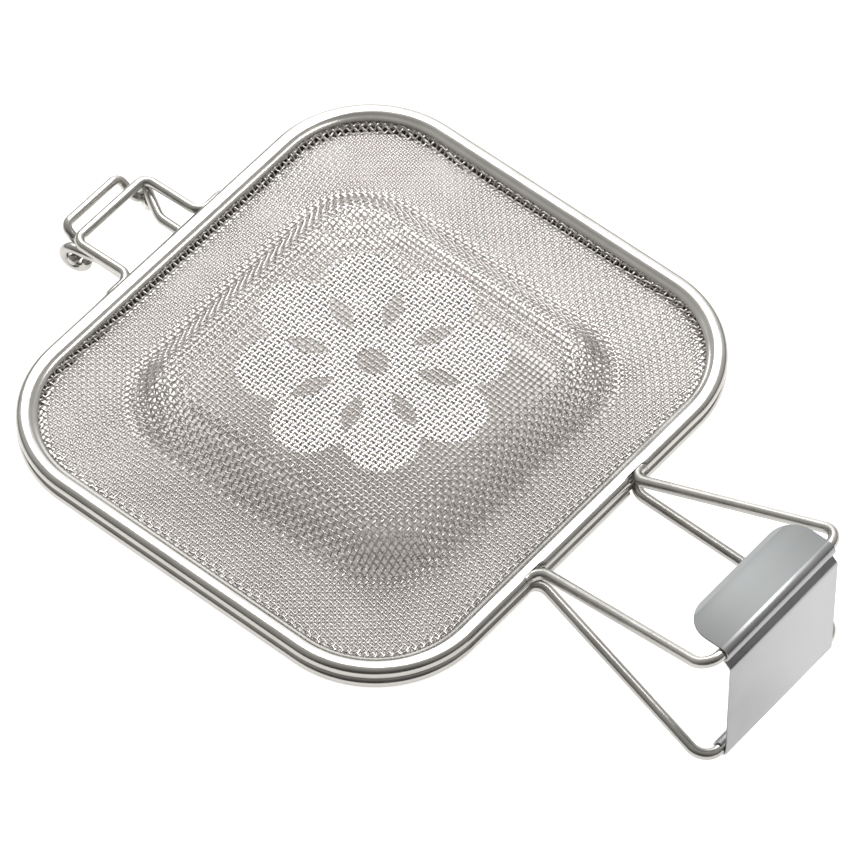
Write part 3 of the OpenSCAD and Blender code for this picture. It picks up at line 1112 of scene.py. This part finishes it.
@dataclass
class Latch:
    """The one-piece sheet latch.

    Attributes:
        width, sheet: Width along the bars, and the sheet's thickness.
        knuckle_play, hook_play: Play round the lower and the upper bar.
        knuckle_turn: How far the knuckle is rolled, in degrees.
        ridge_angle: Turn of the ridge over the plate, in degrees.
        hook_start: Where the hook starts, in degrees from under the bar.
        fine_turn: Step along bends, in degrees.
        edge: How far the sheet's cut edges are rounded over.
    """

    width: float = 45.0
    sheet: float = 0.6
    knuckle_play: float = 0.1
    hook_play: float = 0.25
    knuckle_turn: float = 290.0
    ridge_angle: float = 47.0
    ridge_bend: float = 1.5
    crease_bend: float = 0.6
    hook_start: float = 35.0
    tab_depth: float = 13.5
    tab_corner: float = 8.0
    fine_turn: int = 6
    edge: float = 0.12

    def line(self) -> Array:
        """Middle line of the sheet in the xz plane.

        It runs from the knuckle's end round the lower bar, up the plate, in
        over the ridge, through the crease, over the upper bar and along the
        tab. The plate's height follows from where the hook must start.

        Returns:
            n by 2 points.
        """
        bar = (BAR_WIRE + self.sheet) / 2
        knuckle, hook = bar + self.knuckle_play, bar + self.hook_play
        heading = 90 + self.ridge_angle
        h, k = math.radians(heading), math.radians(self.hook_start)
        s, c, hs, hc = math.sin(h), math.cos(h), math.sin(k), math.cos(k)
        face = LOWER_BAR[0] + knuckle
        start = (UPPER_BAR[0] + hook * hs, UPPER_BAR[1] - hook * hc)
        ridge = (self.ridge_bend * (s - 1), -self.ridge_bend * c)
        crease = (self.crease_bend * (s - hs), self.crease_bend * (hc - c))
        slope = (face + ridge[0] + crease[0] - start[0]) / -c
        rise = start[1] - LOWER_BAR[1] - ridge[1] - crease[1] - slope * s
        t = np.radians(np.arange(-self.knuckle_turn, 1, self.fine_turn))
        round_bar = knuckle * np.stack([np.cos(t), np.sin(t)], 1)
        points = [LOWER_BAR + round_bar]
        here, facing = points[0][-1], 90.0
        # length of each run, or radius of each bend, and its turn in degrees
        for size, angle in (
            (rise, 0.0),
            (self.ridge_bend, self.ridge_angle),
            (slope, 0.0),
            (self.crease_bend, self.hook_start - heading),
            (hook, 180 - self.hook_start),
            (self.tab_depth, 0.0),
        ):
            f = math.radians(facing)
            ahead = np.array([math.cos(f), math.sin(f)])
            if angle == 0:
                n = max(2, int(size / 2))
                part = here + ahead * (np.arange(1, n + 1) / n * size)[:, None]
            else:
                left = np.array([-ahead[1], ahead[0]]) * math.copysign(1, angle)
                n = max(6, int(abs(angle) / self.fine_turn))
                a = np.radians(np.linspace(0, abs(angle), n))[1:, None]
                part = here + size * (np.sin(a) * ahead + (1 - np.cos(a)) * left)
                facing += angle
            points.append(part)
            here = part[-1]
        return np.concatenate(points)

    def build(self, shop: Workshop) -> None:
        """Make the latch, with the sheet's cut edges slightly rounded.

        Args:
            shop: Makes the object.
        """
        line = self.line()
        end = line[-1]
        a = np.radians(np.arange(0, 91, self.fine_turn))
        # points across the tab's rounded end take the place of its last run
        keep = np.linalg.norm(line - end, axis=1) > self.tab_corner + 0.01
        keep[: len(line) // 2] = True
        tab_dir = unit(line[-1] - line[-2])
        tail = end - tab_dir * (self.tab_corner * (1 - np.sin(a)))[:, None]
        tail_half = self.width / 2 - self.tab_corner * (1 - np.cos(a))
        line = np.concatenate([line[keep], tail])
        half = np.concatenate([np.full(keep.sum(), self.width / 2), tail_half])
        ahead = unit(np.gradient(line, axis=0))
        out = np.stack([ahead[:, 1], -ahead[:, 0]], 1)
        t, e, corner = self.sheet / 2, self.edge, self.edge * 0.3
        # outline of the sheet's edge: y from its side, then height over its middle
        edge = np.array([[0, -t + e], [-corner, -t + corner], [-e, -t]])
        right = np.concatenate([edge[::-1], edge * [1, -1]])
        rings = []
        for sign, pts in ((1, right), (-1, right[::-1])):
            y = sign * (half[:, None] + pts[None, :, 0])
            across = np.broadcast_to(pts[None, :, 1], y.shape)
            xz = line[:, None] + out[:, None] * across[..., None]
            rings.append(np.stack([xz[..., 0], y, xz[..., 1]], -1))
        ring = np.concatenate(rings, axis=1)
        run = running_length(line)
        # the tab is where the sheet's run is above zero
        run = run - (run[-1] - self.tab_depth)
        run = np.broadcast_to(run[:, None], ring.shape[:2])
        uvs = np.stack([ring[..., 1], run], -1) * MM
        shop.make(
            "latch", tube(ring, False, uvs), Finish.SPRING,
            Body.LATCH, "latch_clip", 35.0,
        )


# ---- the studio


@dataclass(frozen=True)
class Softbox:
    """A rectangular lamp that faces the press.

    Attributes:
        at, size: Its place, and its width and height, in metres.
        power: Its power in watts.
    """

    name: str
    at: Triple
    size: Pair
    power: float

    def hang(self) -> None:
        """Put the lamp in the scene."""
        data = bpy.data.lights.new(self.name, "AREA")
        data.shape, data.energy = "RECTANGLE", self.power
        data.size, data.size_y = self.size
        back = unit(np.array(self.at) - np.array(LAMP_AIM))
        side = unit(np.cross([0.01, 1.0, 0.0], back))
        lamp = added(self.name, data)
        lamp.matrix_world = aimed(side, np.cross(back, side), back, self.at)


@dataclass
class Studio:
    """Camera, light and floor, fitted to the photograph.

    Attributes:
        origin: The modelling origin in the row frame, in metres.
        azimuth, elevation, distance: Place of the camera as seen from the target.
        lens: Focal length on a sensor 36 mm wide.
        clip: Nearest and farthest that the camera sees, in metres.
        target: Point in the middle of the picture.
        tent: Direction of the light tent's bright side, behind the press.
        tones: sRGB hex of the tent, from its dark side (0) to its bright one.
        wall: Strength of the tent at the horizon, where it ends.
        wall_top: Sine of the elevation where the tent is at full strength.
        lamps: The lamps.
        floor_half: Half the size of the floor, in metres.
        drop: How far the floor lies under the press, whose latch hangs open.
        glow: Strength of the floor's own light.
            painted_shade, painted_shade_half: Share of it left in the middle of the
            painted shadow under the press, and half the size of that shadow.
    """

    origin: Array
    azimuth: float = 39.88
    elevation: float = 53.0
    distance: float = 1992.5
    lens: float = 310.3
    clip: Pair = (0.1, 20.0)
    target: Triple = (21.03, -1.15, 0.0)
    tent: Triple = (-0.59, 0.7, 0.4)
    tones: tuple[tuple[float, str], ...] = (
        (0.2, "646261"), (0.52, "b4b2af"), (0.84, "e2e1df"), (0.97, "ffffff"),
    )
    wall: float = 0.03
    wall_top: float = 0.4
    lamps: tuple[Softbox, ...] = (
        Softbox("back", (-1.0, 1.2, 0.55), (1.6, 0.85), 4.5),
        Softbox("overhead", (-0.5, 0.6, 1.2), (1.5, 0.4), 11.5),
    )
    floor_half: float = 2.0
    drop: float = 16.0
    glow: float = 0.72
    # a painted shadow: the floor's glow is dimmed under the press
    painted_shade: float = 0.2
    painted_shade_half: Pair = (64.0, 66.0)

    def camera(self) -> None:
        """Place the camera as in the photograph."""
        a, e = math.radians(self.azimuth), math.radians(self.elevation)
        flat = math.cos(e)
        back = np.array([math.sin(a) * flat, -math.cos(a) * flat, math.sin(e)])
        right = np.array([math.cos(a), math.sin(a), 0])
        at = np.array(self.target) * MM + self.origin + back * self.distance * MM
        data = bpy.data.cameras.new("camera")
        data.lens, data.sensor_width = self.lens, 36.0
        data.clip_start, data.clip_end = self.clip
        obj = added("camera", data)
        obj.matrix_world = aimed(right, np.cross(back, right), back, at)
        bpy.context.scene.camera = obj

    def floor(self) -> None:
        """Lay the floor, whose own light fades under the press.

        The painted shadow is a soft superellipse: the sum of the fourth powers of
        x and y, each over its half size, rises from 0 in the middle to 1 at the rim.
        """
        s, z = self.floor_half, -self.drop * MM
        mesh = bpy.data.meshes.new("floor")
        corners = [(-s, -s, z), (s, -s, z), (s, s, z), (-s, s, z)]
        mesh.from_pydata(corners, [], [(0, 1, 2, 3)])
        plane = added("floor", mesh)
        paper = bpy.data.materials.new("paper_backdrop_matt")
        nodes = Nodes(paper)
        coords = nodes.add("TexCoord")
        place = nodes.add(
            "Mapping", Vector=coords.outputs["Object"],
            Location=self.origin * [1, 1, 0],
            Scale=(*(half * MM for half in self.painted_shade_half), 1.0),
        )
        place.vector_type = "TEXTURE"
        parts = nodes.add("SeparateXYZ", Vector=place.outputs["Vector"])
        fourths = [
            nodes.math("POWER", nodes.math("ABSOLUTE", parts.outputs[axis]), 4.0)
            for axis in "XY"
        ]
        # painted shadow: the glow falls to a share of itself under the press
        glow = nodes.add(
            "MapRange", Value=nodes.math("ADD", *fourths),
            To_Min=self.glow * self.painted_shade, To_Max=self.glow,
        )
        glow.interpolation_type = "SMOOTHSTEP"
        nodes.fill(
            nodes.tree.nodes["Principled BSDF"],
            Base_Color=linear("f4f3f1"), Roughness=0.9,
            Emission_Color=linear("ffffff"), Emission_Strength=glow.outputs["Result"],
        )
        mesh.materials.append(paper)

    def sky(self) -> None:
        """Hang the light tent, bright behind the press and dark before it.

        Its tone follows from how far a direction is from the bright side, and
        its strength falls off towards the horizon.
        """
        world = bpy.data.worlds.new("studio")
        bpy.context.scene.world = world
        nodes = Nodes(world)
        ways = nodes.add("TexCoord").outputs["Generated"]
        facing = nodes.add("VectorMath")
        facing.operation = "DOT_PRODUCT"
        nodes.put(facing.inputs[0], ways)
        nodes.put(facing.inputs[1], unit(np.array(self.tent)))
        bright = nodes.span(facing.outputs["Value"], From_Min=-1.0)
        parts = nodes.add("SeparateXYZ", Vector=ways)
        wall = nodes.span(parts.outputs["Z"], From_Max=self.wall_top, To_Min=self.wall)
        nodes.fill(
            nodes.tree.nodes["Background"],
            Color=nodes.ramp(bright, self.tones, "EASE"), Strength=wall,
        )

    def build(self) -> None:
        """Make the camera, the world, the floor and the lamps."""
        bpy.context.scene.view_settings.view_transform = "Standard"
        self.camera()
        self.sky()
        self.floor()
        for lamp in self.lamps:
            lamp.hang()


def main() -> None:
    """Build the press piece by piece, then the studio."""
    logging.basicConfig(level=logging.INFO, format="%(name)s: %(message)s")
    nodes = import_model()["nodes"]
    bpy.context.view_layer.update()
    shop = Workshop.from_frame()
    for side, body in (("upper", Body.LID), ("lower", Body.LOWER)):
        Tray(side, body).build(shop, nodes)
    shop.dress(nodes["browning_plate"], Finish.MIRROR)
    Handle("upper", Body.LID, UPPER_BAR).build(shop)
    Handle("lower", Body.LOWER, LOWER_BAR).build(shop)
    Hinge().build(shop)
    Latch().build(shop)
    Studio(shop.origin).build()
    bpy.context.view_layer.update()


if __name__ == "__main__":
    main()
